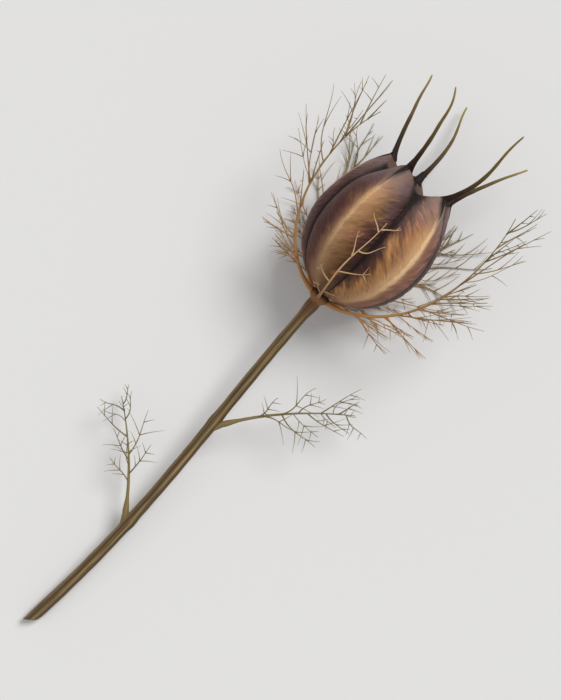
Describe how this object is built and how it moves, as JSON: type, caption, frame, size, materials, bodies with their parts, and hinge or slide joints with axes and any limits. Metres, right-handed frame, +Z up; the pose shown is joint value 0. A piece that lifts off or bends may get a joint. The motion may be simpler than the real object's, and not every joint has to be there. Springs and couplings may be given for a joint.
{
  "type": "nigella seed pod",
  "caption": "Dried inflated seed capsule with curling horns on its crown and a ruff of thread-like bracts, on a cut stem with fine thread leaves, lying on its side.",
  "frame": {"origin": "on the flat spot of the capsule's belly, on the surface that the pod lies on", "axes": "+Y from the cut end of the stem towards the crown of the capsule, +Z up from the surface"},
  "size_m": [0.0568, 0.1401, 0.0298],
  "materials": {
    "capsule": "papery dry husk, satin on the ridges",
    "stem": "dry, matte, finely grooved",
    "bract": "dry, matte threads",
    "leaf": "dry, matte threads"
  },
  "bodies": {
    "root": {"capsule": "capsule", "stem": "stem", "bract_1": "bract", "bract_2": "bract", "bract_3": "bract", "bract_4": "bract", "bract_5": "bract", "leaf_1": "leaf", "leaf_2": "leaf"}
  },
  "joints": []
}
